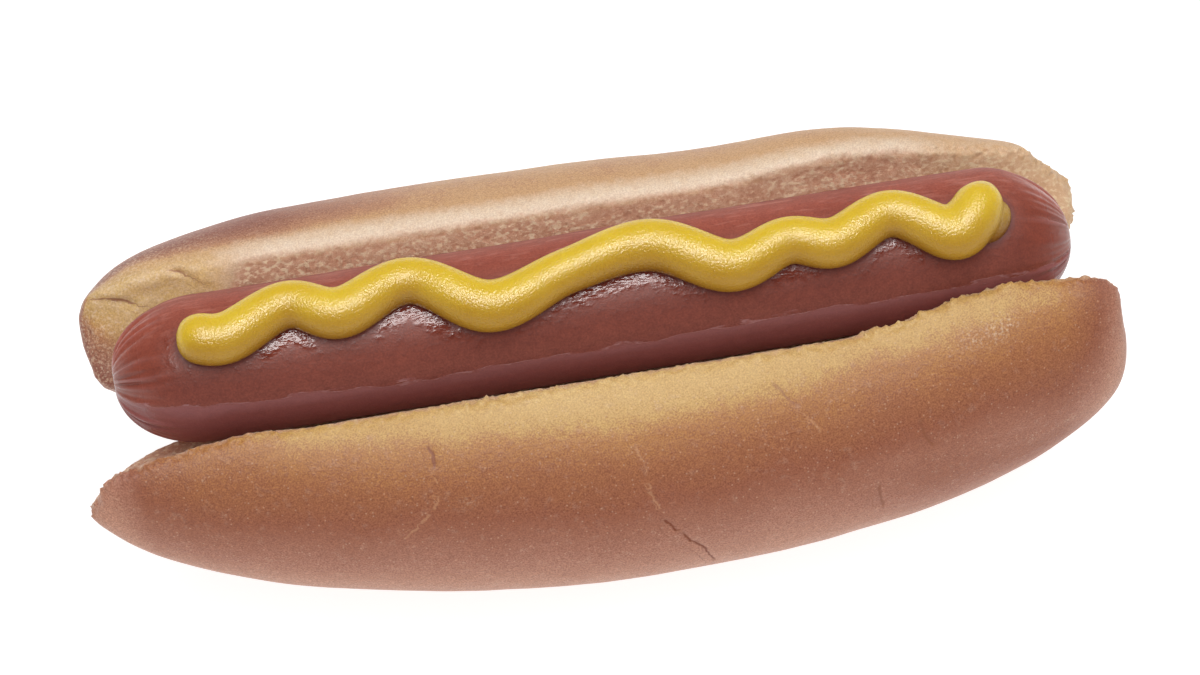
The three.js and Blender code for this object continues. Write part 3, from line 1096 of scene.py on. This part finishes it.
bpy.ops.curve.primitive_nurbs_path_add()
bead = bpy.context.active_object
bead.name = "mustard_bead"
bead.location = (0, 0, 0)
bead.data.splines.clear()
for stroke, sink in ((wave, BEAD_SINK), (flap, FLAP_SINK)):
    turn = stroke[:, 1] * MM / FRANK_RADIUS
    droop = droop_at(stroke[:, 0] * MM)
    reach = FRANK_RADIUS + BEAD_RADIUS - sink
    line = np.stack([
        stroke[:, 0] * MM,
        frank_centre.y + reach * np.sin(turn) - droop,
        frank_centre.z + reach * np.cos(turn) - droop,
    ], 1)
    lengths = np.concatenate([[0], np.cumsum(np.linalg.norm(np.diff(line, axis=0), axis=1))])
    to_end = np.minimum(lengths, lengths[-1] - lengths)
    rounding = np.sqrt(np.clip(1 - (1 - np.clip(to_end / BEAD_RADIUS, 0, 1)) ** 2, 0.0004, 1))
    spline = bead.data.splines.new("POLY")
    spline.points.add(len(line) - 1)
    for point, place, thick, close in zip(spline.points, line, stroke[:, 2], rounding):
        point.co = (*place, 1)
        point.radius = thick * close
    print("a stroke of", round(lengths[-1] / MM), "mm")
bead.data.dimensions = "3D"
bead.data.bevel_depth = BEAD_RADIUS
bead.data.bevel_resolution = 10
bead.data.use_fill_caps = True
only(bead)
bpy.ops.object.convert(target="MESH")

# %% [markdown]
# Two crossing tubes are not yet one paste. A remesh melts them together, and a little
# smoothing closes the joint. Then whatever hangs below the skin is pushed up onto it, so
# the bead sits flat on the sausage.

# %% Set the bead down on the skin
BEAD_SQUARE = 0.42 * MM
UNDER_SKIN = 0.1 * MM

apply_modifier(bead, "REMESH", mode="VOXEL", voxel_size=BEAD_SQUARE)
apply_modifier(bead, "SMOOTH", factor=0.5, iterations=8)
points = points_of(bead)
axis = np.array(frank_centre)[1:]
local = points[:, 1:] - axis
radius = np.linalg.norm(local, axis=1)
lifted = np.maximum(radius, FRANK_RADIUS - UNDER_SKIN) / radius
points[:, 1:] = axis + local * lifted[:, None]
place_points(bead, points)
only(bead)
bpy.ops.object.shade_smooth()
# low_side is how far a point faces the near side, which the finish darkens as painted shade.
keep(bead, "low_side", smooth(-points_of(bead, "normal")[:, 1], 0, 0.9))
keep(bead, "above_skin", (np.hypot(*(points[:, 1:] - axis).T) - FRANK_RADIUS) / MM)
print("the bead has", len(bead.data.polygons), "faces")

# %% [markdown]
# Right beside the paste the skin gets a painted shadow, and in a few stretches its juice has
# run out and left the skin wet. So every point of the skin keeps its distance to the bead,
# and how wet it is.

# %% Wet the skin beside the bead
WET_STRETCHES = [  # along the roll and reach in millimetres, share
    (-65, 2.5, 0.8), (-46.5, 4.5, 1), (-27, 6, 1), (2, 12, 0.8), (28, 4, 0.6), (44, 4.5, 0.6),
]
skin_points = points_of(frankfurter)
near_bead = nearest(skin_points, points) / MM
wet = sum(
    share * np.exp(-(((skin_points[:, 0] / MM - middle) / reach) ** 2))
    for middle, reach, share in WET_STRETCHES
)
wet *= 1 - smooth(near_bead, 0.8, 3.4)
keep(frankfurter, "near_bead", np.minimum(near_bead, 20))
keep(frankfurter, "wet", wet)
print("wet share of the skin:", round(float((wet > 0.5).mean()), 3))

# %% [markdown]
# ## Sausage skin
# Its colour is picked by how far round a point lies: lighter and redder over the top and
# back, darkest on the near side, and a little lighter and pinker again low down. This is
# partly the smoked casing's own tone and partly painted light: painted light from above on
# the top and back, painted shade on the near side, and painted light from the table low
# down. Three sizes of mottle darken it, thin streaks along the casing lighten its back,
# and the gathered ends are paler, with a painted highlight on the crests of their folds.

# %% Sausage skin: colour
skin, tree, shader = new_material("sausage_skin")
place = add_node(tree, "ShaderNodeTexCoord").outputs["Object"]
lengthwise = drawn_out(tree, place, 0.2)
broad = place_group(tree, mottle, Vector=place, Size=9 * MM, Detail=2.0)
middling = place_group(tree, mottle, Vector=place, Size=1.3 * MM, Detail=3.0)
grain = place_group(tree, mottle, Vector=place, Size=0.3 * MM, Detail=1.0)
streak = place_group(tree, mottle, Vector=lengthwise, Size=0.9 * MM, Detail=3.0)
side = rise(tree, attribute(tree, "turn"), -90, 90)
# Lighter on top and back as painted light from above, darkest on the near side as painted shade, lighter and
# pinker low down as painted light from the table.
colour = ramp(tree, side, [
    (0.05, paint(150, 80, 72)),
    (0.17, paint(146, 74, 58)),
    (0.30, paint(138, 60, 39)),
    (0.46, paint(148, 66, 43)),
    (0.66, paint(182, 92, 70)),
    (1.00, paint(160, 84, 68)),
])
colour = tint(tree, colour, broad, 0.25, paint(196, 150, 140), "MULTIPLY")
colour = tint(tree, colour, middling, 0.3, paint(170, 120, 110), "MULTIPLY")
colour = tint(tree, colour, grain, 0.4, paint(156, 112, 106), "MULTIPLY")
colour = tint(tree, colour, attribute(tree, "at_end"), 0.16, paint(206, 120, 102))
# The crests of the end folds: a painted highlight.
colour = tint(tree, colour, attribute(tree, "pleat"), 0.3, paint(200, 146, 146))
back_streaks = times(tree, rise(tree, streak, 0.55, 0.95), rise(tree, side, 0.45, 0.65))
colour = tint(tree, colour, back_streaks, 0.4, paint(208, 138, 122))
print("the skin has", len(tree.nodes), "nodes so far")

# %% [markdown]
# A thin broken line runs along the near side, pale along its edge. Below it the skin is
# dull and purplish, and closest to the line it is hazy. Mottle makes the line wander.

# %% Sausage skin: the line along the near side
wander = place_group(tree, mottle, Vector=lengthwise, Size=1.1 * MM, Detail=4.0)
centred = math_node(tree, "SUBTRACT", attribute(tree, "line_distance"), 0.7)
line_distance = times_plus(tree, wander, 1.4, centred)
below = times(tree, rise(tree, line_distance, -0.3, 0.5), fall(tree, line_distance, 14.0, 18.0))
haze = times(tree, rise(tree, line_distance, -0.2, 0.3), fall(tree, line_distance, 0.8, 2.6))
pale_line = fall(tree, math_node(tree, "ABSOLUTE", line_distance), 0.04, 0.18)
pale_line = times(tree, pale_line, rise(tree, middling, 0.2, 0.7))
colour = tint(tree, colour, below, 0.5, paint(146, 84, 84))
colour = tint(tree, colour, haze, 0.18, paint(160, 112, 118))
colour = tint(tree, colour, pale_line, 0.4, paint(190, 142, 142))
print("the skin has", len(tree.nodes), "nodes so far")

# %% [markdown]
# The skin is moist, with a soft broad shine. Right beside the mustard it is painted dark,
# a painted shadow of the bead where it meets the skin, and where juice ran out it is wet:
# there it gets a low roughness and a lumpier surface, which breaks the light into sparks.

# %% Sausage skin: painted contact shadow, wetness and bump
# Painted shadow of the bead, right where it meets the skin.
contact_shadow = times_plus(tree, middling, 0.5, attribute(tree, "near_bead"))
contact_shadow = fall(tree, contact_shadow, 0.2, 1.3)
colour = tint(tree, colour, contact_shadow, 0.68, paint(96, 48, 46))
tree.links.new(colour, shader.inputs["Base Color"])

wet_here = times_plus(tree, middling, 0.5, attribute(tree, "wet"))
wet_here = rise(tree, wet_here, 0.4, 0.9)
moist_end = times(tree, attribute(tree, "at_end"), 0.7)
moist = math_node(tree, "MAXIMUM", wet_here, moist_end)
roughness = add_node(tree, "ShaderNodeMapRange", {"Value": moist, "To Min": 0.55, "To Max": 0.11})
tree.links.new(roughness.outputs[0], shader.inputs["Roughness"])
shader.inputs["Specular IOR Level"].default_value = 0.35

lumps = place_group(tree, mottle, Vector=drawn_out(tree, place, 0.5), Size=0.9 * MM, Detail=2.0)
wet_lumps = times(tree, lumps, wet_here)
skin_height = times_plus(tree, grain, 0.25, times(tree, middling, 0.6))
skin_height = times_plus(tree, wet_lumps, 2.4, skin_height)
skin_height = times_plus(tree, streak, 0.3, skin_height)
add_bump(tree, shader, skin_height, strength=0.5, distance=0.1 * MM)
frankfurter.data.materials.append(skin)
print("the skin ends with", len(tree.nodes), "nodes")

# %% [markdown]
# ## Mustard
# Prepared mustard is a wet paste of fine ground seed. It is smooth in shape but grainy at
# the scale of the seed, so its highlight is a band of small sparks. Where the paste thins
# out against the skin it is painted brown, partly the brown of the juices and partly
# painted shade where the bead meets the skin. Its near side is painted a little cooler
# and darker than its top, as painted shade.

# %% Mustard
paste, tree, shader = new_material("wet_mustard")
place = add_node(tree, "ShaderNodeTexCoord").outputs["Object"]
grain = place_group(tree, mottle, Vector=place, Size=0.34 * MM, Detail=2.0)
broad = place_group(tree, mottle, Vector=place, Size=6 * MM, Detail=2.0)
tone = times_plus(tree, grain, 0.35, times(tree, broad, 0.5))
colour = ramp(tree, tone, [
    (0.0, paint(220, 180, 28)),
    (1.0, paint(238, 204, 50)),
])
above_skin = times_plus(tree, grain, 0.3, attribute(tree, "above_skin"))
# Where the paste meets the skin: the brown of the juices, and painted shade at the contact.
colour = tint(tree, colour, fall(tree, above_skin, 0.4, 3.8), 0.85, paint(142, 88, 26))
# The near side: painted shade, a little cooler and darker.
colour = tint(tree, colour, attribute(tree, "low_side"), 0.6, paint(176, 132, 235), "MULTIPLY")
tree.links.new(colour, shader.inputs["Base Color"])
set_shader(shader, {
    "Roughness": 0.2,
    "Specular IOR Level": 0.4,
    "Subsurface Weight": 0.15,
    "Subsurface Radius": (1.0, 0.7, 0.15),
    "Subsurface Scale": 0.8 * MM,
})
add_bump(tree, shader, grain, strength=1.0, distance=0.06 * MM)
bead.data.materials.append(paste)
print("the mustard has", len(tree.nodes), "nodes")

# %% [markdown]
# ## Hand the pieces to the frame
# Each piece rides on the one body and stands in for its solid, which is hidden.

# %% Ride and replace
for piece, node, slot in (
    (roll, "roll", "bread"),
    (frankfurter, "frankfurter", "sausage_skin"),
    (bead, "mustard", "mustard"),
):
    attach(piece, "root")
    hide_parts(node)
